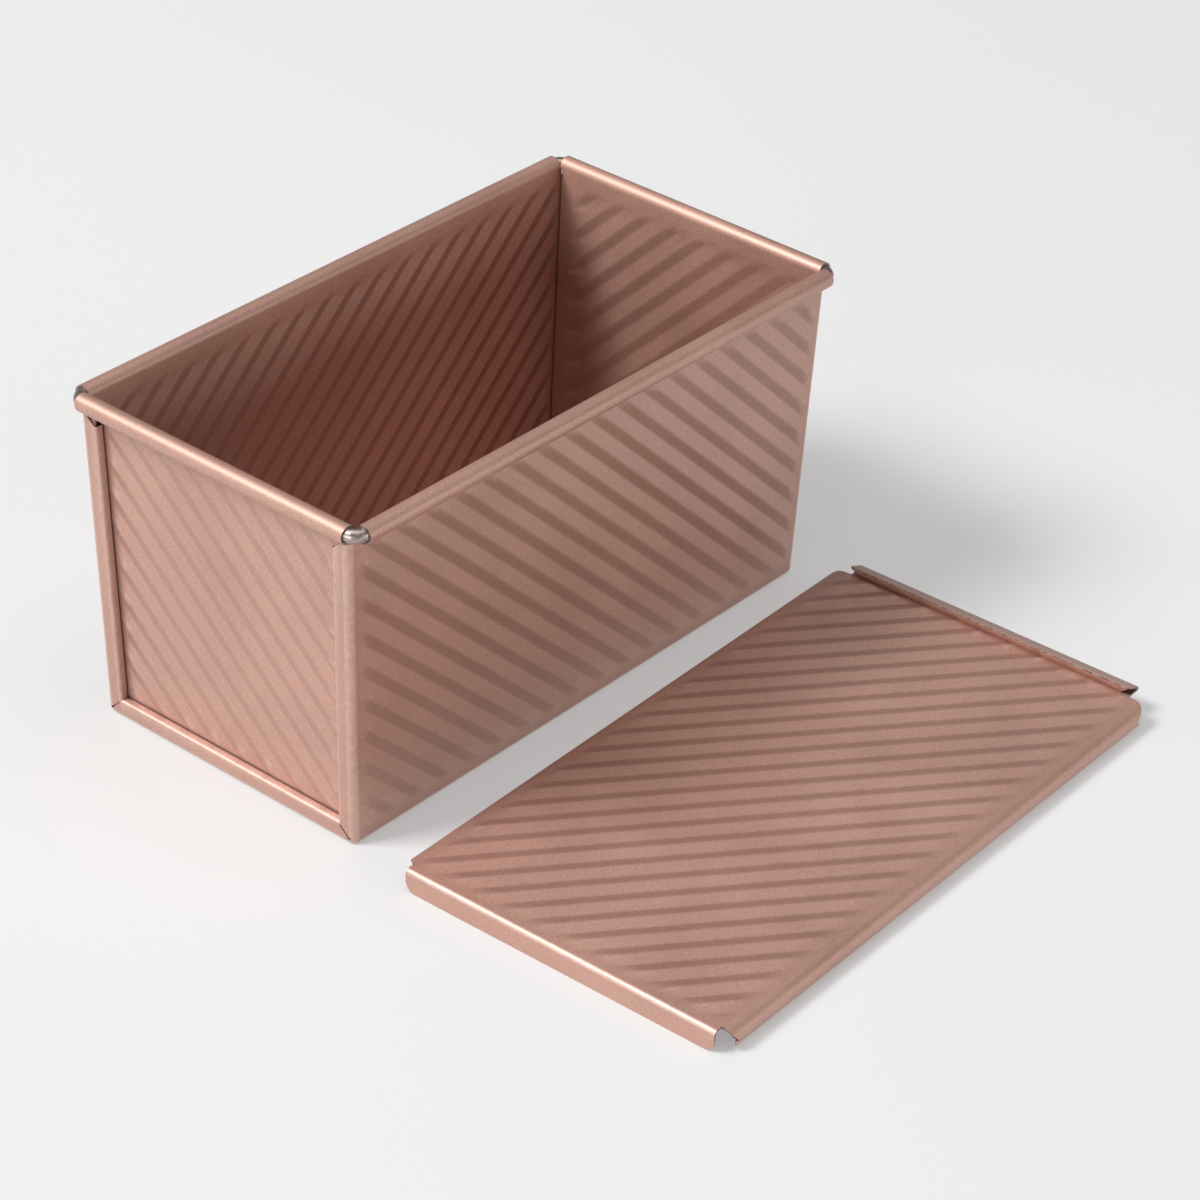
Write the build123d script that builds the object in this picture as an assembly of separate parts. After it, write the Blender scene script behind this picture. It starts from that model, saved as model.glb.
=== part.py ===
from build123d import *
import os
from math import acos, atan, cos, sin, tan

os.makedirs("parts", exist_ok=True)

# Millimetres. The origin is the middle of the pan's base, with X along the pan and Z up.

# Pan: overall sizes over the rims and over the foot
rim_length = 219.5
rim_width = 118.0
rim_height = 112.0
foot_length = 206.1
foot_width = 103.4
pan_sheet = 0.6
corner_bend = 1.3
floor_bend = 0.7

# Pan: wire and rolled rims
wire_diameter = 4.5
wire_clearance = 0.1
wire_bend = 4.2
rim_setback = 1.3
rim_clearance = 0.3

# Pan: folded seams at the ends
strip_width = 6.5
strip_height = 6.3
strip_stand = 3.2
strip_top_drop = 3.0
panel_bend = 0.7
seam_gap = 0.1
bend_room_share = 0.8
mitre_slit = 0.4

# Ribs pressed into every panel
rib_pitch = 8.1
rib_depth = 0.45
rib_angle_sides = 43.0
rib_angle_ends = 45.0
rib_angle_lid = 41.0
crest_share = 0.36
valley_share = 0.36

# Ribs: plain margins round the fields
side_rib_margin = 4.0
end_rib_margin = 1.4
top_rib_margin = 7.5
foot_rib_margin = 4.0
base_rib_margin = 4.0

# Lid
lid_length = 219.0
lid_sheet = 0.5
lid_clearance = 0.3
lid_skirt_fold = 1.2
lid_skirt_width = 106.0
lid_skirt_corner = 6.0
channel_skirt_notch = 3.3
channel_pull_notch = 5.9
channel_corner = 2.0
channel_pull_corner = 5.5
channel_lip = 1.0
pull_width = 105.0
pull_rise = 5.5
pull_crease_rise = 3.9
pull_top_depth = 2.1
pull_foot_depth = 2.5
lid_edge_rib_margin = 0.5
lid_skirt_rib_margin = 3.0

# Lid: its place beside the pan, lying on the same surface
lid_gap_to_pan = 10.2
lid_shift = 3.0
lid_turn = 1.71

# Room for tools that cut right through
overrun = 5.0

# Worked out from the sizes above
wire_radius = wire_diameter / 2
roll_radius = wire_radius + wire_clearance + pan_sheet
roll_level = rim_height - roll_radius
roll_x = rim_length / 2 - roll_radius
roll_y = rim_width / 2 - roll_radius
side_top = roll_y - roll_radius + pan_sheet
panel_top = roll_x - roll_radius + pan_sheet
inner_corner_x = panel_top - pan_sheet
inner_corner_y = side_top - pan_sheet
side_roll_half = inner_corner_x - rim_setback
end_roll_half = inner_corner_y - rim_setback
corner_top = roll_level - roll_radius - rim_clearance


def side_face(z):
    """Outer face of the long walls, as a distance from the middle."""
    return foot_width / 2 + (side_top - foot_width / 2) * z / roll_level


def strip_face(z):
    """Outer face of the folded strips at the ends."""
    return foot_length / 2 + (panel_top + strip_stand - foot_length / 2) * z / roll_level


def panel_face(z):
    """Outer face of the end panels, set back behind the strips."""
    return strip_face(z) - strip_stand


def tapered(low, high, x_from, x_to, y_half):
    """Block between two heights, with sides that follow the pan's taper."""
    sections = []
    for z in (low, high):
        middle = (x_from(z) + x_to(z)) / 2
        section = Rectangle(x_to(z) - x_from(z), 2 * y_half(z))
        sections.append(Plane.XY.offset(z) * Pos(middle, 0) * section)
    return loft(sections, ruled=True)


def slanting_edges(solid, at_least):
    """The four edges that run up the corners."""
    return [edge for edge in solid.edges() if edge.bounding_box().size.Z > at_least]


def nested(inset, high):
    """Block as large as the pan's outside drawn in by an inset, with its corners and foot bent round.

    The seams hold two sheets inside each other, so the bend of each layer grows with its size.
    """
    layers = 2 * pan_sheet + seam_gap - inset
    block = tapered(
        inset,
        high,
        lambda z: inset - strip_face(z),
        lambda z: strip_face(z) - inset,
        lambda z: side_face(z) - inset,
    )
    block = fillet(slanting_edges(block, corner_top / 2), corner_bend + layers)
    return fillet(block.edges().group_by(Axis.Z)[0], floor_bend + layers)


def both_ways(solid):
    """The solid and its twin at the other side of the pan."""
    return [solid, Rot(0, 0, 180) * solid]


def rib_field(plane, reach, angle, sheet):
    """Ribbed sheet lying on a plane, larger than the panel that it is cut to.

    The ribs fall to the right by the angle, seen from outside.
    """
    shoulder_share = (1 - crest_share - valley_share) / 2
    steps = ((0, 0), (valley_share, 0), (valley_share + shoulder_share, 1), (1 - shoulder_share, 1))
    count = int(reach / rib_pitch) + 1
    line = []
    for rib in range(-count, count):
        for along_share, rise_share in steps:
            line.append(((rib + along_share) * rib_pitch, rise_share * rib_depth))
    outside = [(across, rise + sheet) for across, rise in reversed(line)]
    wave = Plane.XZ * make_face(Polyline(*line, *outside, close=True))
    ribs = extrude(wave, reach, both=True)
    return plane * Pos(0, 0, -sheet) * Rot(0, 0, -90 - angle) * ribs


def rolled_rim(half_length):
    """Rim rolled round the wire, lying along X, with its wall on the -Y side."""
    curl_gap = acos((roll_radius - pan_sheet - seam_gap) / roll_radius)
    side = 2 * roll_radius
    opening = make_face(Polyline((0, 0), (-side, 0), (-side, -side * tan(curl_gap)), close=True))
    ring = Circle(roll_radius) - Circle(roll_radius - pan_sheet) - opening
    return extrude(Plane.YZ * ring, half_length, both=True)


def body_wrap():
    """Long walls, floor, end strips with return lips and long rolled rims in one sheet."""
    outside = nested(0, roll_level)
    inside = nested(pan_sheet, roll_level + overrun)
    shell = outside - inside

    # Window inside the strips, and the return lips round it
    window = tapered(
        strip_height,
        roll_level + overrun,
        lambda z: -strip_face(z) - overrun,
        lambda z: strip_face(z) + overrun,
        lambda z: side_face(z) - strip_width,
    )
    lips = tapered(
        strip_height - pan_sheet,
        roll_level,
        lambda z: panel_face(z) + rib_depth + seam_gap,
        lambda z: strip_face(z) - pan_sheet / 2,
        lambda z: side_face(z) - strip_width + pan_sheet,
    )
    shell = shell - window
    for lip in both_ways(lips - window):
        shell = shell + lip

    # Mitre slits between the upright and the bottom strips
    foot_bend = floor_bend + 2 * pan_sheet + seam_gap
    slit_reach = strip_width - foot_bend
    for side in (1, -1):
        slit = Box(2 * (strip_stand + pan_sheet), mitre_slit, 2 * slit_reach)
        middle_y = side * (side_face(strip_height) - foot_bend - slit_reach / 2)
        middle_z = foot_bend + slit_reach / 2
        place = Pos(strip_face(middle_z) + seam_gap, middle_y, middle_z)
        for cutter in both_ways(place * Rot(side * 45, 0, 0) * slit):
            shell = shell - cutter

    # Corners stop under the bare wire, and each strip's top falls away from the corner
    corner = Box(2 * overrun, rim_width, 2 * overrun)
    above = Pos(side_roll_half + overrun, 0, corner_top + overrun)
    wedge_rise = strip_top_drop * (strip_width + overrun) / strip_width
    for cutter in both_ways(above * corner):
        shell = shell - cutter
    for side in (1, -1):
        outer = side_face(corner_top) * side
        inner = (side_face(corner_top) - strip_width - overrun) * side
        slope = Polyline((outer, corner_top), (inner, corner_top - wedge_rise), (inner, corner_top), close=True)
        wedge = extrude(Plane.YZ.offset(panel_top) * make_face(slope), strip_stand + overrun)
        for cutter in both_ways(wedge):
            shell = shell - cutter

    # Ribs in the long walls
    lean = atan((side_top - foot_width / 2) / roll_level)
    wall_ribs = tapered(
        foot_rib_margin,
        rim_height - top_rib_margin,
        lambda z: side_rib_margin - strip_face(z),
        lambda z: strip_face(z) - side_rib_margin,
        lambda z: side_face(z) + overrun,
    )
    outward = (0, -cos(lean), -sin(lean))
    plane = Plane((0, -side_face(0), 0), x_dir=(1, 0, 0), z_dir=outward)
    reach = rim_length / 2 + rim_height
    side_ribs = rib_field(plane, reach, rib_angle_sides, pan_sheet) & wall_ribs
    shell = shell - wall_ribs
    for ribs in both_ways(side_ribs):
        shell = shell + ribs

    # Ribs in the floor, pressed up into the pan
    base_half_x = panel_face(0) - base_rib_margin
    base_half_y = foot_width / 2 - base_rib_margin
    base = Box(2 * base_half_x, 2 * base_half_y, 2 * (pan_sheet + rib_depth))
    base_ribs = rib_field(Plane.XY.offset(pan_sheet), reach, rib_angle_sides, pan_sheet) & base
    shell = shell - base + base_ribs

    for rim in both_ways(Pos(0, roll_y, roll_level) * rolled_rim(side_roll_half)):
        shell = shell + rim
    return shell


def end_panel():
    """Panel at +X: flanged outwards at its sides and foot, hooked under the strips."""
    tuck = pan_sheet + seam_gap
    beyond = tapered(
        0,
        roll_level,
        lambda z: panel_face(z) - pan_sheet,
        lambda z: strip_face(z) + overrun,
        lambda z: side_face(z) + overrun,
    )
    hull = nested(tuck, roll_level) & beyond
    facing = hull.faces().sort_by(Axis.X)[0]
    bends = [edge for edge in facing.edges() if edge.center().Z < roll_level - seam_gap]
    room = strip_stand - seam_gap - corner_bend - pan_sheet
    hull = fillet(bends, min(panel_bend, room * bend_room_share))
    hollow = nested(tuck + pan_sheet, roll_level + overrun) & tapered(
        0,
        roll_level + overrun,
        panel_face,
        lambda z: strip_face(z) + overrun,
        lambda z: side_face(z) + overrun,
    )
    panel = hull - hollow

    window = tapered(
        strip_height - tuck,
        roll_level + overrun,
        lambda z: panel_face(z) + seam_gap,
        lambda z: strip_face(z) + overrun,
        lambda z: side_face(z) - strip_width + tuck,
    )
    above_seam = tapered(
        corner_top,
        roll_level + overrun,
        panel_face,
        lambda z: strip_face(z) + overrun,
        side_face,
    )
    corner = Box(4 * overrun, 2 * overrun, 2 * overrun)
    panel = panel - window - above_seam
    for side in (1, -1):
        panel = panel - Pos(panel_top, side * (end_roll_half + overrun), corner_top + overrun) * corner

    # Ribs
    lean = atan((panel_top + strip_stand - foot_length / 2) / roll_level)
    end_ribs = tapered(
        strip_height + end_rib_margin,
        rim_height - top_rib_margin,
        lambda z: panel_face(z) - overrun,
        lambda z: panel_face(z) + overrun,
        lambda z: side_face(z) - strip_width - end_rib_margin,
    )
    outward = (cos(lean), 0, -sin(lean))
    plane = Plane((panel_face(0), 0, 0), x_dir=(0, 1, 0), z_dir=outward)
    reach = rim_width / 2 + rim_height
    ribs = rib_field(plane, reach, rib_angle_ends, pan_sheet) & end_ribs
    panel = panel - end_ribs + ribs

    rim = Pos(roll_x, 0, roll_level) * Rot(0, 0, -90) * rolled_rim(end_roll_half)
    return panel + rim


def rim_wire():
    """One closed hoop of wire inside the rolled rims, bare at the corners."""
    path = Plane.XY.offset(roll_level) * RectangleRounded(2 * roll_x, 2 * roll_y, wire_bend)
    hoop = path.face().outer_wire()
    start = Plane(hoop @ 0, z_dir=hoop % 0)
    return sweep(start * Circle(wire_radius), path=hoop)


def lid():
    """Ribbed plate with a skirt, a hemmed pull and a channel along each long side."""
    channel_radius = roll_radius + lid_clearance + lid_sheet / 2
    fold_y = roll_y
    height = 2 * channel_radius + lid_sheet
    plate_level = height - lid_sheet / 2
    half_length = lid_length / 2
    channel_from = channel_skirt_notch - half_length
    channel_to = half_length - channel_pull_notch

    # Plate and channels
    lip_level = lid_sheet / 2
    middle = height / 2
    path = Line((channel_lip - fold_y, lip_level), (-fold_y, lip_level))
    path += ThreePointArc((-fold_y, lip_level), (-fold_y - channel_radius, middle), (-fold_y, plate_level))
    path += Line((-fold_y, plate_level), (fold_y, plate_level))
    path += ThreePointArc((fold_y, plate_level), (fold_y + channel_radius, middle), (fold_y, lip_level))
    path += Line((fold_y, lip_level), (fold_y - channel_lip, lip_level))
    section = Plane.YZ.offset(channel_from) * trace(path, line_width=lid_sheet)
    trough = extrude(section, channel_to - channel_from)

    outer_y = fold_y + channel_radius + lid_sheet / 2
    outline = Pos((channel_from + channel_to) / 2, 0) * Rectangle(channel_to - channel_from, 2 * outer_y)
    corners = outline.vertices().sort_by(Axis.X)
    outline = fillet(corners[:2], channel_corner)
    corners = outline.vertices().sort_by(Axis.X)
    outline = fillet(corners[-2:], channel_pull_corner)
    sheet = trough & extrude(outline, height + overrun)

    # Skirt, with rounded lower corners
    overlap = lid_skirt_rib_margin / 2
    skirt_x = lid_sheet / 2 - half_length
    turn = skirt_x + lid_skirt_fold
    drop = plate_level - lid_skirt_fold
    skirt_path = Line((skirt_x, 0), (skirt_x, drop))
    skirt_path += RadiusArc((skirt_x, drop), (turn, plate_level), lid_skirt_fold)
    skirt_path += Line((turn, plate_level), (channel_from + overlap, plate_level))
    skirt = extrude(Plane.XZ * trace(skirt_path, line_width=lid_sheet), lid_skirt_width / 2, both=True)
    apron = Plane.YZ.offset(-half_length - overrun) * Pos(0, height) * Rectangle(lid_skirt_width, 2 * height)
    low_corners = apron.vertices().group_by(Axis.Z)[0]
    skirt = skirt & extrude(fillet(low_corners, lid_skirt_corner), lid_length)

    # Pull: wall up, leaf sloping in to a crease and leaf down to the plate
    wall_x = half_length - lid_sheet / 2
    crease = (wall_x - pull_top_depth, plate_level + pull_crease_rise)
    pull_path = Polyline(
        (channel_to - overlap, plate_level),
        (wall_x, plate_level),
        (wall_x, plate_level + pull_rise - lid_sheet / 2),
        crease,
        (wall_x - pull_foot_depth, height + lid_sheet / 2),
    )
    pull = extrude(Plane.XZ * trace(pull_path, line_width=lid_sheet), pull_width / 2, both=True)
    sheet = sheet + skirt + pull

    # Ribs
    field_from = turn + lid_skirt_rib_margin
    field_to = wall_x - pull_foot_depth - lid_sheet
    field = Rectangle(field_to - field_from, 2 * (fold_y - lid_edge_rib_margin))
    tongue = Rectangle(2 * field_to, pull_width - 2 * lid_sheet)
    inset = offset(outline, -lid_sheet) + tongue
    field = (Pos((field_from + field_to) / 2, 0) * field) & inset
    block = extrude(Plane.XY.offset(plate_level - lid_sheet) * field, 2 * lid_sheet + rib_depth)
    reach = (lid_length + rim_width) / 2
    ribs = rib_field(Plane.XY.offset(height), reach, rib_angle_lid, lid_sheet) & block
    sheet = sheet - block + ribs
    middle_y = -(rim_width / 2 + lid_gap_to_pan + outer_y)
    return Pos(lid_shift, middle_y, 0) * Rot(0, 0, lid_turn) * sheet


far_panel = end_panel()
nodes = {
    "body_wrap": body_wrap(),
    "end_panel_near": Rot(0, 0, 180) * far_panel,
    "end_panel_far": far_panel,
    "rim_wire": rim_wire(),
    "lid": lid(),
}
for node, shape in nodes.items():
    export_step(shape, f"parts/{node}.step")
    print(node, len(shape.solids()), "solid, volume", round(shape.volume), "mm3")
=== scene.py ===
from math import acos, atan2, ceil, cos, degrees, pi, radians, sin

import bmesh
import bpy
from mathutils import Matrix, Vector


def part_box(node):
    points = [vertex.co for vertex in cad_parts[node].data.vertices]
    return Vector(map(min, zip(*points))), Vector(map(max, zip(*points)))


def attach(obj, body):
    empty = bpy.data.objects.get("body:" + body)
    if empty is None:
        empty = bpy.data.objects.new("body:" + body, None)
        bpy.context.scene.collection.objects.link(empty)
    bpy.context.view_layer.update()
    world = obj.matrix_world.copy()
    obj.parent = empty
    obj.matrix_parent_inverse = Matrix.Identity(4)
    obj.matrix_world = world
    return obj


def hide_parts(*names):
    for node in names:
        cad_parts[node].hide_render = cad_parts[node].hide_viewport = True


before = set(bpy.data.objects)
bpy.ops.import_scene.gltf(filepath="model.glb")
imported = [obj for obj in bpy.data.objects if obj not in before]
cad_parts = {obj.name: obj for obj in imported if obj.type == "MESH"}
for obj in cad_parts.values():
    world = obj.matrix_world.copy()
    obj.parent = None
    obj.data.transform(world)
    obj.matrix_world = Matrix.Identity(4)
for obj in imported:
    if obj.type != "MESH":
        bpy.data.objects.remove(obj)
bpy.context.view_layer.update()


# Rose-gold coating
# The pan and its lid are steel sheet with a baked non-stick coat full of fine metal flakes.
# It shines softly and has a sandy grain. Its folds are lighter, partly from rubbed wear and partly as a
# painted highlight, and painted shade darkens the short faces of the ribs and the hem of the pull.

class Amount:
    """A number that varies over a surface, written as an expression."""

    def __init__(self, paint, socket):
        self.paint = paint
        self.socket = socket

    def combine(self, operation, first, second):
        inputs = [value.socket if isinstance(value, Amount) else value for value in (first, second)]
        made = self.paint.node("ShaderNodeMath", {"operation": operation}, dict(enumerate(inputs)))
        return Amount(self.paint, made.outputs[0])

    def __add__(self, other):
        return self.combine("ADD", self, other)

    def __mul__(self, other):
        return self.combine("MULTIPLY", self, other)

    __radd__ = __add__
    __rmul__ = __mul__


class Paint:
    """One material and its nodes."""

    def __init__(self, name):
        self.material = bpy.data.materials.new(name)
        self.material.use_nodes = True
        self.tree = self.material.node_tree
        self.shader = self.tree.nodes["Principled BSDF"]
        self.place = self.node("ShaderNodeTexCoord").outputs["Object"]

    def node(self, kind, settings=None, sockets=None):
        made = self.tree.nodes.new(kind)
        for name, value in (settings or {}).items():
            setattr(made, name, value)
        for name, value in (sockets or {}).items():
            if isinstance(value, bpy.types.NodeSocket):
                self.tree.links.new(value, made.inputs[name])
            else:
                made.inputs[name].default_value = value
        return made

    def noise(self, size, detail):
        """Noise whose lumps are about that size in metres."""
        made = self.node("ShaderNodeTexNoise", {}, {
            "Vector": self.place, "Scale": 1 / size, "Detail": detail, "Roughness": 0.6,
        })
        return Amount(self, made.outputs["Fac"])

    def drawn(self, name):
        """The amount that a piece's own mesh carries under a name."""
        return Amount(self, self.node("ShaderNodeAttribute", {"attribute_name": name}).outputs["Fac"])

    def between(self, amount, low, high):
        """0 under low, 1 over high, and a smooth way between them."""
        made = self.node("ShaderNodeMapRange", {"interpolation_type": "SMOOTHSTEP"}, {
            "Value": amount.socket, "From Min": low, "From Max": high,
        })
        return Amount(self, made.outputs["Result"])

    def blend(self, amount, first, second):
        """Colour that goes from first to second with an amount."""
        made = self.node("ShaderNodeMix", {"data_type": "RGBA"}, {
            "Factor": amount.socket, 6: first, 7: second,
        })
        return made.outputs[2]

    def finish(self, colour, roughness, height, depth):
        """Joins colour, roughness and bump to the shader."""
        relief = self.node("ShaderNodeBump", {}, {
            "Height": height.socket, "Distance": depth, "Strength": 1.0,
        })
        self.tree.links.new(colour, self.shader.inputs["Base Color"])
        self.tree.links.new(roughness.socket, self.shader.inputs["Roughness"])
        self.tree.links.new(relief.outputs["Normal"], self.shader.inputs["Normal"])
        return self.material


mm = 0.001
flake_size = 0.35 * mm
grain_size = 0.9 * mm
rub_size = 2.7 * mm
cloud_size = 45 * mm
grain_depth = 0.006 * mm
flake_deep = (0.44, 0.25, 0.196, 1)
flake_bright = (0.58, 0.345, 0.274, 1)
flake_share = 0.7
cloud_share = 0.3
flake_spread = (0.36, 0.64)
rub_spread = (0.35, 0.65)
rub_least = 0.5
# Painted shade on the short faces of the ribs: how strongly it darkens, and the dark tone it goes to
painted_shade_strength = 0.36
painted_shade_tone = (0.20, 0.08, 0.05, 1)
coat_roughness = 0.50
cloud_roughness = 0.05
flake_roughness = 0.06
roughness_spread = (0.3, 0.7)
coat_metal = 0.66
gloss = 0.55
gloss_roughness = 0.38


def coating(name, wear_and_sheen_tone, wear_and_sheen):
    """Flaked coat. Its second argument is the tone of the folds, lighter from rubbed wear and from a painted
    highlight, and its third says how far the folds go to that tone.
    """
    paint = Paint(name)
    flakes = paint.noise(flake_size, 1.0)
    grain = paint.noise(grain_size, 3.0)
    cloud = paint.noise(cloud_size, 3.0)
    rub = paint.noise(rub_size, 4.0)
    mottle = paint.between(flakes * flake_share + cloud * cloud_share, *flake_spread)
    body = paint.blend(mottle, flake_deep, flake_bright)
    # Painted shade: the short faces of the ribs and parts of the pull go darker by the amount the mesh
    # carries
    shaded_body = paint.blend(paint.drawn("painted_shade") * painted_shade_strength, body, painted_shade_tone)
    patchy = rub_least + paint.between(rub, *rub_spread) * (1 - rub_least)
    # Lighter folds: partly rubbed wear, partly painted highlight
    colour = paint.blend(paint.drawn("fold") * patchy * wear_and_sheen, shaded_body, wear_and_sheen_tone)
    uneven = paint.between(cloud, *roughness_spread) * cloud_roughness
    sandy = paint.between(flakes, *roughness_spread) * flake_roughness
    paint.shader.inputs["Metallic"].default_value = coat_metal
    paint.shader.inputs["Coat Weight"].default_value = gloss
    paint.shader.inputs["Coat Roughness"].default_value = gloss_roughness
    return paint.finish(colour, coat_roughness + uneven + sandy, grain * 0.5 + flakes * 0.5, grain_depth)


# Cut edges: the sheet is cut after it is coated, so its edges are dull steel.
edge_dark = (0.16, 0.11, 0.09, 1)
edge_light = (0.36, 0.28, 0.25, 1)
edge_streak_size = 1.5 * mm
edge_metal = 0.9
edge_roughness = 0.40
streak_spread = (0.35, 0.65)
streak_roughness = 0.2

edge_paint = Paint("cut_edge")
edge_streaks = edge_paint.noise(edge_streak_size, 3.0)
edge_paint.shader.inputs["Metallic"].default_value = edge_metal
cut_edge = edge_paint.finish(
    edge_paint.blend(edge_paint.between(edge_streaks, *streak_spread), edge_dark, edge_light),
    edge_roughness + edge_streaks * streak_roughness, edge_streaks, grain_depth,
)


# Body wrap
# One sheet of 0.6 mm steel folded to a U makes the floor and both long walls.
# Its ends are folded round the end panels as flat strips with a lip turned back in, and its
# long top edges are rolled round the rim wire. Ribs are pressed into each panel.

pan_sheet = 0.6 * mm
corner_bend = 2.0 * mm
corner_segments = 7
floor_bend = 1.4 * mm
floor_segments = 6
strip_width = 6.5 * mm
strip_height = 6.3 * mm
strip_stand = 3.2 * mm
strip_top_drop = 3.0 * mm
strip_fold = 0.35 * mm
strip_fold_segments = 3
lip_gap = 0.55 * mm
seam_gap = 0.1 * mm
mitre_slit = 0.5 * mm
weld = 0.01 * mm
cut_tolerance = weld / 100
roll_radius = 2.95 * mm
rim_setback = 0.05 * mm
rim_clearance = 0.1 * mm
foot_half_width = 51.7 * mm
foot_half_length = 103.05 * mm
flat_border = 0.5 * mm
rib_pitch = 8.1 * mm
rib_depth = 0.6 * mm
rib_step = 2.6 * mm
rib_long_share = 0.6
rib_turn_share = 0.12
rib_row_shares = (0.02, 0.06, 0.09, 0.30, 0.51, 0.54, 0.58, 0.62, 0.66, 0.69, 0.80, 0.91, 0.94, 0.98)
rib_angle_sides = radians(43.0)
same_way = 0.9
across_way = 0.5
real_corner = 0.1
fold_least = 9
fold_range = 3
sharp_angle = radians(35)
# Its folds go lighter, partly rubbed wear and partly painted highlight
rose_pan = coating("rose_coat_pan", (0.78, 0.58, 0.50, 1), 0.35)

wrap_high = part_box("body_wrap")[1]
end_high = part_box("end_panel_far")[1]
roll_level = wrap_high[2] - roll_radius
roll_y = wrap_high[1] - roll_radius
roll_x = end_high[0] - roll_radius
inner_y = roll_y - roll_radius
inner_x = roll_x - roll_radius
corner_top = roll_level - roll_radius - rim_clearance


def side_face(z):
    """Outer face of the long walls at a height."""
    return foot_half_width + (inner_y + pan_sheet - foot_half_width) * z / roll_level


def strip_face(z):
    """Outer face of the end strips at a height."""
    return foot_half_length + (inner_x + pan_sheet + strip_stand - foot_half_length) * z / roll_level


def panel_face(z):
    """Outer face of the end panels at a height."""
    return strip_face(z) - strip_stand


def tapered_box(low, x_from, x_to, y_half):
    """Box with the pan's taper from a height up to where the rims begin, open at the top."""
    box = bmesh.new()
    bmesh.ops.create_cube(box, size=2)
    for vert in box.verts:
        z = corner_top if vert.co.z > 0 else low
        x = x_to(z) if vert.co.x > 0 else x_from(z)
        vert.co = (x, vert.co.y * y_half(z), z)
    cover = max(box.faces, key=lambda face: middle_of(face).z)
    bmesh.ops.delete(box, geom=[cover], context="FACES")
    return box


def bend_edges(sheet, edges, radius, segments):
    """Rounds edges as a folding machine would."""
    bmesh.ops.bevel(
        sheet, geom=edges, offset=radius, offset_type="OFFSET", segments=segments, profile=0.5,
        affect="EDGES", material=-1,
    )


def upright(edge):
    """Whether an edge stands up from the floor."""
    return abs(edge.verts[0].co.z - edge.verts[1].co.z) > strip_height


def at_level(edge, z):
    """Whether an edge lies at a height."""
    return all(abs(vert.co.z - z) < seam_gap for vert in edge.verts)


def middle_of(face):
    return face.calc_center_median()


def sign(value):
    return 1 if value > 0 else -1


def split(sheet, point, normal, faces=None, outer=False):
    """Cuts faces along a plane, and with outer takes away what lies beyond it."""
    faces = list(sheet.faces) if faces is None else faces
    edges = list(dict.fromkeys(edge for face in faces for edge in face.edges))
    verts = list(dict.fromkeys(vert for face in faces for vert in face.verts))
    bmesh.ops.bisect_plane(
        sheet, geom=faces + edges + verts, plane_co=point, plane_no=normal, dist=cut_tolerance,
        clear_outer=outer,
    )


def drop_faces(sheet, test):
    """Takes away the faces whose middles pass a test."""
    found = [face for face in sheet.faces if test(middle_of(face))]
    bmesh.ops.delete(sheet, geom=found, context="FACES")


def facing(sheet, direction):
    """Faces that look one way."""
    return [face for face in sheet.faces if face.normal.dot(Vector(direction)) > same_way]


def new_edges(made):
    """The edges that a growing sheet ends with, and their vertices."""
    verts = [item for item in made if isinstance(item, bmesh.types.BMVert)]
    ends = set(verts)
    edges = [item for item in made if isinstance(item, bmesh.types.BMEdge) and set(item.verts) <= ends]
    return edges, verts


def draw_out(sheet, edges, move):
    """Lengthens a sheet from its edges, each point going where move says."""
    edges, verts = new_edges(bmesh.ops.extrude_edge_only(sheet, edges=edges)["geom"])
    for vert in verts:
        vert.co = move(vert.co)
    return edges


def roll_up(sheet, edges, centre, axis, angle, steps):
    """Bends a sheet from its edges round an axis."""
    last = bmesh.ops.spin(sheet, geom=edges, cent=centre, axis=axis, angle=angle, steps=steps)["geom_last"]
    return new_edges(last)[0]


def smooth(share):
    """Eases a share between 0 and 1."""
    share = min(max(share, 0.0), 1.0)
    return share * share * (3 - 2 * share)


def rib_height(across):
    """Height of the ribs as a share: a long face, a turn and a shorter face."""
    total = 0.0
    taps = 5
    for tap in range(taps):
        share = (across + rib_turn_share * (tap / (taps - 1) - 0.5)) % 1
        total += (1 - share) / (1 - rib_long_share) if share > rib_long_share else share / rib_long_share
    return total / taps


def rib_shade(across):
    """1 on the short faces of the ribs, where shade is painted on, and 0 on the long ones."""
    share = across % 1
    if share <= 0.5:
        return smooth(0.5 - share / rib_turn_share)
    entering = smooth((share - rib_long_share) / rib_turn_share + 0.5)
    leaving = smooth((share + rib_turn_share / 2 - 1) / rib_turn_share)
    return entering * (1 - leaving)


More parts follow.
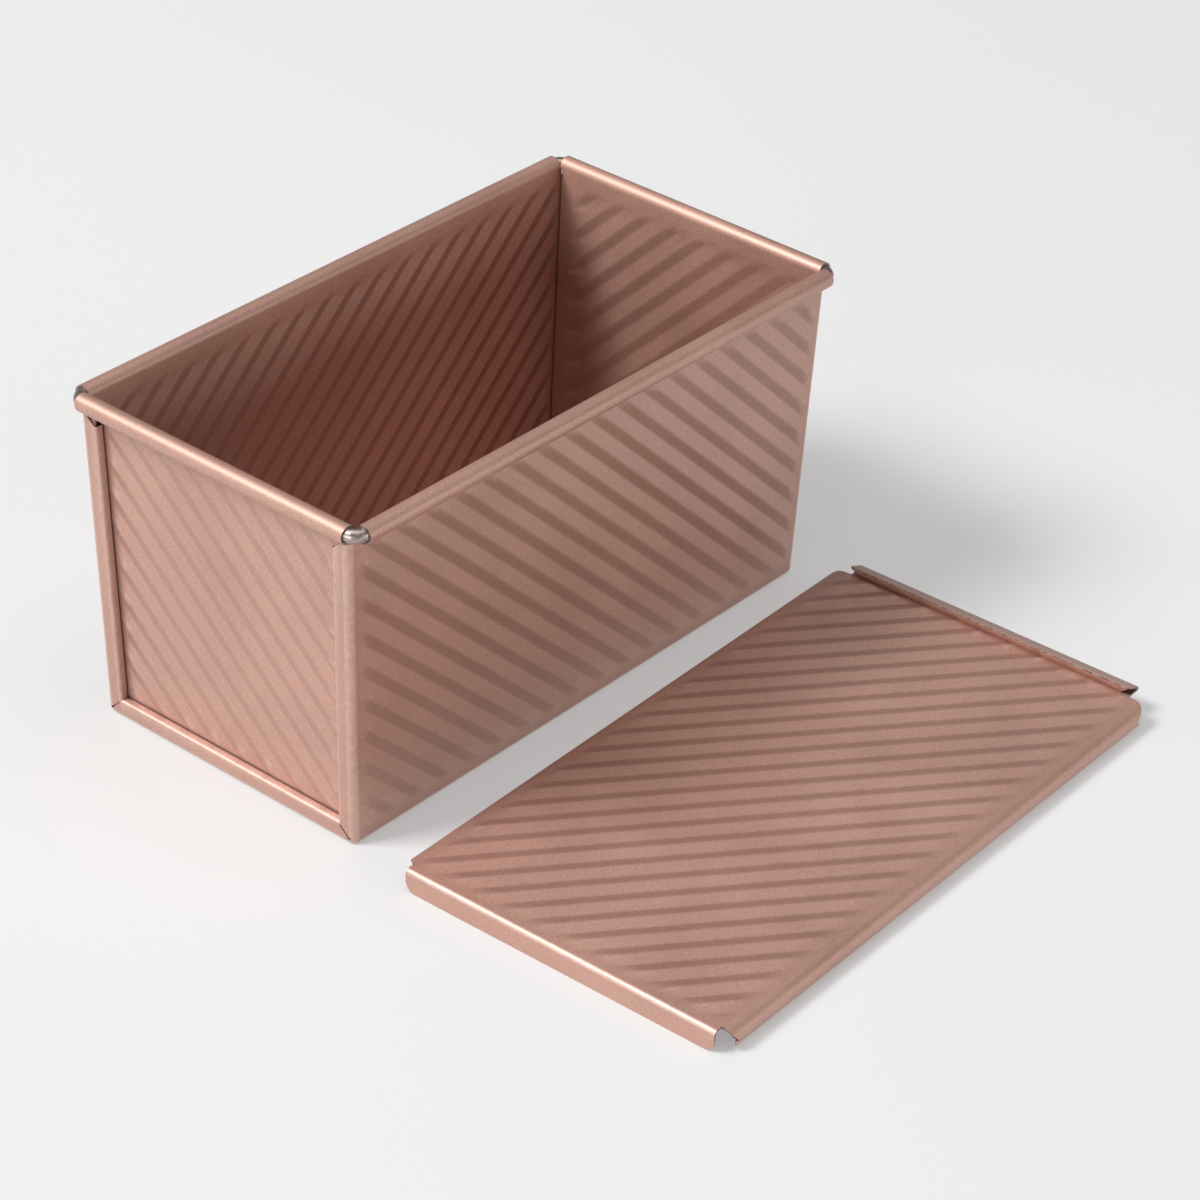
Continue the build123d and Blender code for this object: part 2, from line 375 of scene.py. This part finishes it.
def ribbed_panel(corners, angle, lean, shade_amount, margins, ramps, notches=()):
    """Flat panel with ribs that fall to the right by an angle, its corners given anticlockwise.

    With lean 1 the long faces of the ribs look up, with -1 they look down. The fourth argument says how
    strongly shade is painted on the short faces of the ribs. margins and ramps say for each side, from the
    first to the second corner on, how much of the panel stays flat and over which stretch the ribs rise.
    """
    panel = bmesh.new()
    middle = sum((Vector(corner) for corner in corners), Vector((0, 0))) / len(corners)
    reach = max((Vector(corner) - middle).length for corner in corners)
    pitches = ceil(reach / rib_pitch) + 1
    rows = len(rib_row_shares)
    steps = ceil(2 * reach / rib_step)
    # Painted shade for the short faces of the ribs, carried on the mesh
    painted_shade = panel.verts.layers.float.new("painted_shade")
    bmesh.ops.create_grid(panel, x_segments=steps, y_segments=2 * pitches * rows, size=reach)
    for vert in panel.verts:
        row = round((vert.co.y / reach + 1) * pitches * rows)
        across = row // rows + rib_row_shares[row % rows] - pitches
        vert.co.y = -across * lean * rib_pitch
        vert.co.z = rib_height(across) * rib_depth
        vert[painted_shade] = rib_shade(across) * shade_amount
    turn = Matrix.Translation((*middle, 0)) @ Matrix.Rotation(-angle, 4, "Z")
    bmesh.ops.transform(panel, matrix=turn, verts=panel.verts)
    sides = []
    for first, second in zip(corners, corners[1:] + corners[:1]):
        way = (Vector(second) - Vector(first)).normalized()
        outward = Vector((way.y, -way.x))
        sides.append((Vector(first), outward))
        split(panel, (*first, 0), (*outward, 0), outer=True)
    for x_limit, y_limit in notches:
        x_side = sign(x_limit)
        y_side = sign(y_limit)
        beside = [face for face in panel.faces if middle_of(face).y * y_side > abs(y_limit) / 2]
        split(panel, (x_limit, 0, 0), (1, 0, 0), beside)
        beyond = [face for face in panel.faces if (middle_of(face).x - x_limit) * x_side > 0]
        split(panel, (0, y_limit, 0), (0, 1, 0), beyond)
        drop_faces(panel, lambda at: (at.x - x_limit) * x_side > 0 and (at.y - y_limit) * y_side > 0)
    for vert in panel.verts:
        for (point, outward), margin, ramp in zip(sides, margins, ramps):
            inside = (point - vert.co.xy) @ outward
            vert.co.z *= smooth((inside - margin) / ramp)
            vert[painted_shade] *= smooth((inside - margin) / ramp)
    return panel


def press_ribs(sheet, face, right, outward, angle, lean, shade_amount, margins, ramps):
    """Opens a flat face but for a narrow border, and makes the ribbed panel that fits the opening."""
    bmesh.ops.inset_individual(sheet, faces=[face], thickness=flat_border, use_even_offset=True)
    outward = face.normal * sign(face.normal.dot(Vector(outward)))
    right = Vector(right)
    up = outward.cross(right)
    turn = Matrix((right, up, outward)).transposed().to_4x4()
    place = Matrix.Translation(outward * face.verts[0].co.dot(outward)) @ turn
    corners = [(place.inverted() @ vert.co).xy for vert in face.verts]
    middle = sum(corners, Vector((0, 0))) / len(corners)
    corners.sort(key=lambda at: atan2(at.y - middle.y, at.x - middle.x))
    corners = [here for before, here, after in zip(corners[-1:] + corners, corners, corners[1:] + corners[:1])
               if (here - before).normalized().cross((after - here).normalized()) > real_corner]
    borders = list(face.edges)
    bmesh.ops.delete(sheet, geom=[face], context="FACES_ONLY")
    panel = ribbed_panel([tuple(at) for at in corners], angle, lean, shade_amount, margins, ramps)
    panel.transform(place)
    rim = [vert.co.copy() for vert in panel.verts if vert.is_boundary]
    for border in borders:
        start, end = border.verts
        first = start.co.copy()
        way = end.co - start.co
        shares = []
        for at in rim:
            share = (at - first).dot(way) / way.length_squared
            if weld < share * way.length < way.length - weld and (at - first - way * share).length < weld:
                shares.append(share)
        done = 0.0
        for share in sorted(shares):
            start = bmesh.utils.edge_split(border, start, (share - done) / (1 - done))[1]
            done = share
    return panel


def join(sheet, parts):
    """Adds parts to a sheet and welds the borders that meet."""
    for part in parts:
        mesh = bpy.data.meshes.new("joining")
        part.to_mesh(mesh)
        part.free()
        sheet.from_mesh(mesh)
        bpy.data.meshes.remove(mesh)
    bmesh.ops.remove_doubles(sheet, verts=[vert for vert in sheet.verts if vert.is_boundary], dist=weld)


def orient(sheet, direction, test):
    """Turns all faces one way, so that those that pass a test look in a direction."""
    bmesh.ops.recalc_face_normals(sheet, faces=sheet.faces)
    looks = sum(face.normal.dot(Vector(direction)) for face in sheet.faces if test(middle_of(face)))
    if looks < 0:
        bmesh.ops.reverse_faces(sheet, faces=sheet.faces)


def finish_sheet(name, sheet, thickness, coat, node, body):
    """Gives a folded surface its thickness, its materials and its place in the frame."""
    folds = sheet.verts.layers.float.new("fold")
    for vert in sheet.verts:
        bends = [abs(edge.calc_face_angle_signed(0.0)) for edge in vert.link_edges if edge.is_manifold]
        vert[folds] = smooth((degrees(max(bends, default=0.0)) - fold_least) / fold_range)
    for face in sheet.faces:
        face.smooth = True
    mesh = bpy.data.meshes.new(name + "_surface")
    sheet.to_mesh(mesh)
    sheet.free()
    piece = bpy.data.objects.new(name, mesh)
    bpy.context.scene.collection.objects.link(piece)
    mesh.materials.append(coat)
    mesh.materials.append(cut_edge)
    solid = piece.modifiers.new("sheet", "SOLIDIFY")
    solid.thickness = thickness
    solid.offset = -1
    solid.use_even_offset = True
    solid.material_offset_rim = 1
    thick = bpy.data.meshes.new_from_object(piece.evaluated_get(bpy.context.evaluated_depsgraph_get()))
    piece.modifiers.clear()
    piece.data = thick
    thick.name = name
    bpy.data.meshes.remove(mesh)
    thick.set_sharp_from_angle(angle=sharp_angle)
    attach(piece, body)
    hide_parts(node)


wrap = tapered_box(
    pan_sheet, lambda z: pan_sheet - strip_face(z), lambda z: strip_face(z) - pan_sheet,
    lambda z: side_face(z) - pan_sheet,
)
bend_edges(wrap, [edge for edge in wrap.edges if upright(edge)], corner_bend, corner_segments)
bend_edges(wrap, [edge for edge in wrap.edges if at_level(edge, pan_sheet)], floor_bend, floor_segments)

# Strips: windows for the end panels, return lips, mitred corners and slanting tops
wall_slant = Vector((0, side_face(roll_level) - side_face(0), roll_level)).normalized()
slope_y = side_face(corner_top) - pan_sheet - corner_bend - seam_gap


def cut_window(sheet, end, inset, low):
    """Opens an end of a folded box but for a strip at its sides and foot."""
    for side in (1, -1):
        beside = (0, side * wall_slant.z, -wall_slant.y)
        split(sheet, (0, side * (side_face(0) - inset), 0), beside, facing(sheet, (end, 0, 0)))
    split(sheet, (0, 0, low), (0, 0, 1), facing(sheet, (end, 0, 0)))
    drop_faces(sheet, lambda at: at.x * end > panel_face(at.z) + strip_stand / 2
               and at.z > low and abs(at.y) < side_face(at.z) - inset)


def in_strips(face, end, side):
    """Whether a face belongs to the strips at an end, on one side."""
    return (middle_of(face).x * end > panel_face(0)
            and face.normal.y * side < across_way and face.normal.z > -across_way
            and max(vert.co.y * side for vert in face.verts) > foot_half_width / 2)


def at_strip_top(face, end, side):
    """Whether a face reaches the top of a strip."""
    highest = max(face.edges, key=lambda edge: edge.verts[0].co.z + edge.verts[1].co.z)
    return (middle_of(face).x * end > panel_face(middle_of(face).z) and at_level(highest, corner_top)
            and 0 < max(vert.co.y * side for vert in face.verts) < slope_y + 2 * seam_gap)


for end in (1, -1):
    cut_window(wrap, end, strip_width - pan_sheet, strip_height - pan_sheet)
windows = [edge for edge in wrap.edges if edge.is_boundary and not at_level(edge, corner_top)]
draw_out(wrap, windows, lambda at: (sign(at.x) * (panel_face(at.z) + lip_gap), at.y, at.z))
bend_edges(wrap, windows, strip_fold, strip_fold_segments)
for end in (1, -1):
    for side in (1, -1):
        heel = Vector((0, side * side_face(0), 0))
        window_corner = Vector((0, side * (side_face(strip_height) - strip_width), strip_height))
        along = (window_corner - heel).normalized()
        aside = Vector((0, -along.z, along.y))
        for shift in (mitre_slit / 2, -mitre_slit / 2):
            strips = [face for face in wrap.faces if in_strips(face, end, side)]
            split(wrap, heel + aside * shift, aside, strips)
        drop_faces(wrap, lambda at: at.x * end > panel_face(at.z) and at.y * side > 0
                   and abs((at - heel).dot(aside)) < mitre_slit / 2
                   and (Vector((0, at.y, at.z)) - heel).length > 2 * floor_bend)
        split(
            wrap, (0, side * slope_y, corner_top), (0, -side * strip_top_drop, strip_width / 2),
            [face for face in wrap.faces if at_strip_top(face, end, side)], outer=True,
        )

# Ribs, and the long rims
side_margins = (1.5 * mm, 0.9 * mm, 0.8 * mm, 0.9 * mm)
side_ramps = (3.5 * mm, 3.0 * mm, 3.0 * mm, 3.0 * mm)
# Painted shade on the short faces of the ribs of the walls and floor
side_shade_amount = 1
floor_margins = (1.5 * mm, 4.7 * mm, 1.5 * mm, 4.7 * mm)
floor_ramps = (4.0 * mm, 4.0 * mm, 4.0 * mm, 4.0 * mm)
side_roll_half = inner_x - rim_setback
curl = 2 * pi - acos((roll_radius - pan_sheet - seam_gap) / roll_radius)
curl_steps = 44


def largest(faces):
    return max(faces, key=lambda face: face.calc_area())


def top_edges(sheet, shortest):
    """Long edges at the height where the rolled rims begin."""
    return [edge for edge in sheet.edges if at_level(edge, corner_top) and edge.calc_length() > shortest]


ribbed = [press_ribs(
    wrap, largest(facing(wrap, (0, 0, -1))), (1, 0, 0), (0, 0, 1),
    -rib_angle_sides, 1, side_shade_amount, floor_margins, floor_ramps,
)]
for side in (1, -1):
    ribbed.append(press_ribs(
        wrap, largest(facing(wrap, (0, side, 0))), (-side, 0, 0), (0, side, 0),
        rib_angle_sides, -side, side_shade_amount, side_margins, side_ramps,
    ))
    top = [edge for edge in top_edges(wrap, side_roll_half) if edge.verts[0].co.y * side > 0]
    edges = draw_out(wrap, top, lambda at: (sign(at.x) * side_roll_half, side * inner_y, roll_level))
    roll_up(wrap, edges, (0, side * roll_y, roll_level), (1, 0, 0), -side * curl, curl_steps)
join(wrap, ribbed)
orient(wrap, (0, 0, 1), lambda at: at.z < pan_sheet + rib_depth)
finish_sheet("body_wrap_sheet", wrap, pan_sheet, rose_pan, "body_wrap", "pan")


# End panels
# Each end is a ribbed sheet. Its sides and foot are flanged outwards and hooked under the strips of
# the wrap, and its top edge is rolled round the rim wire.

rib_angle_ends = radians(45.0)
end_bend = 1.5 * mm
end_bend_segments = 5
end_margins = (5.0 * mm, 5.2 * mm, 0.8 * mm, 5.2 * mm)
end_ramps = (1.5 * mm, 1.5 * mm, 3.0 * mm, 1.5 * mm)
# Painted shade on the short faces of the ribs, weaker on the end panels
end_shade_amount = 0.5
end_roll_half = inner_y - rim_setback
tuck = pan_sheet + seam_gap

for node, half_turn, rib_lean in (("end_panel_far", 0, -1), ("end_panel_near", pi, 1)):
    panel = tapered_box(
        tuck, lambda z: panel_face(z) - pan_sheet, lambda z: strip_face(z) - tuck,
        lambda z: side_face(z) - tuck,
    )
    folds = [edge for edge in panel.edges if not at_level(edge, corner_top)]
    bend_edges(panel, folds, end_bend, end_bend_segments)
    cut_window(panel, 1, strip_width - tuck, strip_height - tuck)
    ribbed = press_ribs(
        panel, largest(facing(panel, (-1, 0, 0))), (0, 1, 0), (1, 0, 0),
        rib_angle_ends, rib_lean, end_shade_amount, end_margins, end_ramps,
    )
    top = top_edges(panel, end_roll_half)
    edges = draw_out(panel, top, lambda at: (inner_x, sign(at.y) * end_roll_half, roll_level))
    roll_up(panel, edges, (roll_x, 0, roll_level), (0, 1, 0), curl, curl_steps)
    join(panel, [ribbed])
    orient(panel, (-1, 0, 0), lambda at: at.x < panel_face(at.z) and at.z < corner_top)
    panel.transform(Matrix.Rotation(half_turn, 4, "Z"))
    finish_sheet(node + "_sheet", panel, pan_sheet, rose_pan, node, "pan")


# Rim wire
# A hoop of bare drawn steel wire inside the four rolled rims. It shows only at the corners, where
# the rolled sheet is cut away and the wire bends round.

wire_radius = 2.25 * mm
wire_bend = 4.2 * mm
wire_sides = 28
bend_steps = 12
half_x = roll_x - wire_bend
half_y = roll_y - wire_bend
wire_dark = (0.32, 0.26, 0.235, 1)
wire_light = (0.50, 0.42, 0.385, 1)
wire_streak_size = 1.2 * mm
scuff_size = 0.5 * mm
wire_metal = 1.0
wire_roughness = 0.28

hoop = bmesh.new()
bmesh.ops.create_circle(
    hoop, segments=wire_sides, radius=wire_radius,
    matrix=Matrix.Translation((0, -roll_y, roll_level)) @ Matrix.Rotation(pi / 2, 4, "Y"),
)
edges = list(hoop.edges)
runs = ((half_x, 0), (0, 2 * half_y), (-2 * half_x, 0), (0, -2 * half_y))
centres = ((half_x, -half_y), (half_x, half_y), (-half_x, half_y), (-half_x, -half_y))
for (run_x, run_y), (turn_x, turn_y) in zip(runs, centres):
    edges = draw_out(hoop, edges, lambda at: at + Vector((run_x, run_y, 0)))
    edges = roll_up(hoop, edges, (turn_x, turn_y, roll_level), (0, 0, 1), pi / 2, bend_steps)
draw_out(hoop, edges, lambda at: at + Vector((half_x, 0, 0)))
bmesh.ops.remove_doubles(hoop, verts=hoop.verts, dist=weld)
bmesh.ops.recalc_face_normals(hoop, faces=hoop.faces)
for face in hoop.faces:
    face.smooth = True
wire_mesh = bpy.data.meshes.new("rim_wire_hoop")
hoop.to_mesh(wire_mesh)
hoop.free()
wire_piece = bpy.data.objects.new("rim_wire_hoop", wire_mesh)
bpy.context.scene.collection.objects.link(wire_piece)

wire_paint = Paint("bare_wire")
streaks = wire_paint.noise(wire_streak_size, 4.0)
scuffs = wire_paint.noise(scuff_size, 2.0)
wire_paint.shader.inputs["Metallic"].default_value = wire_metal
wire_mesh.materials.append(wire_paint.finish(
    wire_paint.blend(wire_paint.between(streaks, *streak_spread), wire_dark, wire_light),
    wire_roughness + streaks * streak_roughness, scuffs, grain_depth,
))
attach(wire_piece, "pan")
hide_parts("rim_wire")


# Lid
# One sheet of 0.5 mm steel: a ribbed plate with a skirt turned down at one short end, a hemmed pull
# turned up at the other, and a channel folded round along each long side that slides on the rims.

lid_sheet = 0.5 * mm
lid_half_length = 109.5 * mm
lid_height = 7.5 * mm
lid_x = 3.0 * mm
lid_y = -129.0 * mm
lid_turn = radians(1.71)
channel_radius = lid_height / 2
channel_steps = 24
channel_from = 3.0 * mm - lid_half_length
channel_to = lid_half_length - 5.9 * mm
channel_corner = {1: 6.5 * mm, -1: 2.5 * mm}
channel_nose = 6.5 * mm
channel_pull_corner = 5.5 * mm
channel_lip = 1.0 * mm
skirt_fold = 1.45 * mm
skirt_steps = 7
skirt_reach = {1: 55.7 * mm, -1: 55.5 * mm}
skirt_corner = 4.0 * mm
pull_half_width = 52.5 * mm
pull_foot = lid_half_length - 5.0 * mm
rib_angle_lid = radians(41.0)
plate_y = roll_y - 0.3 * mm
plate_from = skirt_fold - lid_half_length
plate_to = pull_foot + lid_sheet
lid_margins = (0.3 * mm, 1.0 * mm, 0.3 * mm, 2.5 * mm)
lid_ramps = (5.0 * mm, 1.5 * mm, 3.0 * mm, 4.0 * mm)
# Painted shade on the short faces of the lid's ribs
lid_shade_amount = 0.6
trim_steps = 6
# Its folds go lighter, partly rubbed wear and partly painted highlight
rose_lid = coating("rose_coat_lid", (0.82, 0.64, 0.56, 1), 0.45)

lid = ribbed_panel(
    [(plate_from, -plate_y), (plate_to, -plate_y), (plate_to, plate_y), (plate_from, plate_y)],
    rib_angle_lid, -1, lid_shade_amount, lid_margins, lid_ramps,
    notches=[
        (channel_to, pull_half_width), (channel_to, -pull_half_width),
        (channel_from, skirt_reach[1]), (channel_from, -skirt_reach[-1]),
    ],
)
lid.transform(Matrix.Translation((0, 0, lid_height)))


def border(sheet, axis, place):
    """Edges of a sheet that lie at a place along an axis."""
    return [edge for edge in sheet.edges if edge.is_boundary
            and all(abs(vert.co[axis] - place) < weld for vert in edge.verts)]


def round_corner(sheet, corner, radius, axes, test):
    """Trims a corner, given along two axes, to an arc. Only faces that pass the test are cut."""
    for step in range(trim_steps):
        turn = (step + 0.5) / trim_steps * pi / 2
        normal = Vector()
        point = Vector()
        for axis, (place, way), share in zip(axes, corner, (cos(turn), sin(turn))):
            normal[axis] = share * way
            point[axis] = place + (share - 1) * radius * way
        split(sheet, point, normal, [face for face in sheet.faces if test(middle_of(face))], outer=True)


# Channels
channel_y = roll_y + channel_radius
for side in (1, -1):
    edges = draw_out(lid, border(lid, 1, side * plate_y), lambda at: (at.x, side * roll_y, at.z))
    edges = roll_up(lid, edges, (0, side * roll_y, channel_radius), (1, 0, 0), -side * pi, channel_steps)
    draw_out(lid, edges, lambda at: at - Vector((0, side * channel_lip, 0)))
    round_corner(
        lid, ((channel_to, 1), (side * channel_y, side)), channel_pull_corner, (0, 1),
        lambda at: at.x > 0 and at.y * side > pull_half_width,
    )
    round_corner(
        lid, ((channel_from, -1), (side * channel_y, side)), channel_corner[side], (0, 1),
        lambda at: at.x < 0 and at.y * side > plate_y,
    )
    round_corner(
        lid, ((channel_from, -1), (0, -1)), channel_nose, (0, 2),
        lambda at: at.x < 0 and at.y * side > 0 and at.z < lid_height - weld,
    )

# Skirt
edges = border(lid, 0, plate_from)
edges = roll_up(lid, edges, (plate_from, 0, lid_height - skirt_fold), (0, 1, 0), -pi / 2, skirt_steps)
draw_out(lid, edges, lambda at: (at.x, at.y, 0))
for side in (1, -1):
    round_corner(
        lid, ((side * skirt_reach[side], side), (0, -1)), skirt_corner, (1, 2),
        lambda at: at.x < weld - lid_half_length,
    )
bmesh.ops.remove_doubles(lid, verts=lid.verts, dist=weld)
orient(lid, (0, 0, 1), lambda at: at.z > lid_height - weld)

# Pull: a hollow hem, open at both ends, where its front leaf is cut back
pull_top = lid_height + 3.4 * mm
pull_back = lid_height + 0.8 * mm
pull_lean = 1.3 * mm
pull_opening = 3.5 * mm
crease_radius = 0.3 * mm
pull_bends = (crease_radius, 0.6 * mm, 0.8 * mm)
pull_segments = 4
# Painted shade on the pull: darkest at the foot of its front face, and darker towards the back of its top
# leaf
foot_painted_shade = 2.7
leaf_painted_shade = 1.4
under = lid_height - lid_sheet
crease_x = pull_foot - pull_lean

pull = bmesh.new()
foot = [pull.verts.new((pull_foot, y, lid_height + seam_gap)) for y in (-pull_half_width, pull_half_width)]
edges = [pull.edges.new(foot)]
turns = []
for x, z in ((crease_x, pull_top), (lid_half_length, pull_back), (lid_half_length, under), (plate_to, under)):
    edges = draw_out(pull, edges, lambda at: (x, at.y, z))
    turns += edges
for turn, radius in zip(turns, pull_bends):
    bend_edges(pull, [turn], radius, pull_segments)
for side in (1, -1):
    leaf = [face for face in pull.faces
            if middle_of(face).x < pull_foot and middle_of(face).z < pull_top - crease_radius]
    split(
        pull, (0, side * (pull_half_width - pull_opening), lid_height),
        (0, side * (pull_top - lid_height), -pull_opening), leaf, outer=True,
    )
orient(pull, (1, 0, 0), lambda at: at.x > lid_half_length - weld)
# Painted shade: the pull's front goes dark towards its foot, and its top leaf towards its back edge
painted_shade = pull.verts.layers.float.new("painted_shade")
for vert in pull.verts:
    if vert.co.x > crease_x + 2 * crease_radius:
        vert[painted_shade] = foot_painted_shade if vert.co.x < plate_to else leaf_painted_shade
join(lid, [pull])
lid.transform(Matrix.Translation((lid_x, lid_y, 0)) @ Matrix.Rotation(lid_turn, 4, "Z"))
finish_sheet("lid_sheet", lid, lid_sheet, rose_lid, "lid", "lid")


# Studio
# A pale seamless floor, a soft light high at the back left, a wide one overhead, two dim ones
# low at the left and in front, and a dim, even room.

floor_half = 4.0
floor_glow = 0.31
floor_shine = 0.2
floor_roughness = 0.8
paper_dark = (0.41, 0.41, 0.41, 1)
paper_light = (0.42, 0.42, 0.42, 1)
paper_cloud_size = 0.3
paper_roughness = 0.1
white = (1, 1, 1, 1)
room_strength = 0.19

floor_shape = bmesh.new()
bmesh.ops.create_grid(floor_shape, x_segments=8, y_segments=8, size=floor_half)
floor_mesh = bpy.data.meshes.new("studio_floor")
floor_shape.to_mesh(floor_mesh)
floor_shape.free()
studio_floor = bpy.data.objects.new("studio_floor", floor_mesh)
bpy.context.scene.collection.objects.link(studio_floor)
floor_paint = Paint("studio_paper")
paper = floor_paint.noise(paper_cloud_size, 2.0)
floor_paint.shader.inputs["Specular IOR Level"].default_value = floor_shine
floor_paint.shader.inputs["Emission Color"].default_value = white
floor_paint.shader.inputs["Emission Strength"].default_value = floor_glow
floor_mesh.materials.append(floor_paint.finish(
    floor_paint.blend(paper, paper_dark, paper_light),
    floor_roughness + paper * paper_roughness, paper, grain_depth,
))

# Soft boxes: place, aim, width, height and power in watts
lamps = {
    "key_light": ((-2.4, 1.65, 3.45), (0, -0.04, 0.03), 1.6, 1.6, 220),
    "top_light": ((0.2, -0.4, 3.4), (0.05, -0.1, 0), 2.6, 2.6, 34),
    "left_fill": ((-2.6, -0.3, 0.35), (0, -0.04, 0.03), 1.6, 0.5, 22),
    "front_fill": ((0.9, -3.0, 0.6), (0, -0.06, 0.04), 2.4, 0.8, 25),
}
for name, (place, target, width, height, power) in lamps.items():
    light = bpy.data.lights.new(name, "AREA")
    light.shape = "RECTANGLE"
    light.size = width
    light.size_y = height
    light.energy = power
    lamp = bpy.data.objects.new(name, light)
    aim = (Vector(target) - Vector(place)).to_track_quat("-Z", "Y")
    lamp.matrix_world = Matrix.Translation(place) @ aim.to_matrix().to_4x4()
    bpy.context.scene.collection.objects.link(lamp)

world = bpy.data.worlds.new("studio_room")
world.use_nodes = True
room = world.node_tree.nodes["Background"]
room.inputs["Color"].default_value = white
room.inputs["Strength"].default_value = room_strength
bpy.context.scene.world = world
bpy.context.scene.view_settings.view_transform = "Standard"

# Camera at the photograph's place
camera_place = (-768.7 * mm, -686.3 * mm, 679.1 * mm)
camera_heading = radians(50.64)
camera_drop = radians(32.77)
camera_roll = radians(2.21)
picture_size = 1200
focal_pixels = 3919.35
camera_data = bpy.data.cameras.new("camera")
camera_data.sensor_width = 36
camera_data.lens = focal_pixels * camera_data.sensor_width / picture_size
camera_data.clip_start = 0.05
camera = bpy.data.objects.new("camera", camera_data)
turn = Matrix.Rotation(-camera_heading, 4, "Z") @ Matrix.Rotation(pi / 2 - camera_drop, 4, "X")
camera.matrix_world = Matrix.Translation(camera_place) @ turn @ Matrix.Rotation(camera_roll, 4, "Z")
bpy.context.scene.collection.objects.link(camera)
bpy.context.scene.camera = camera
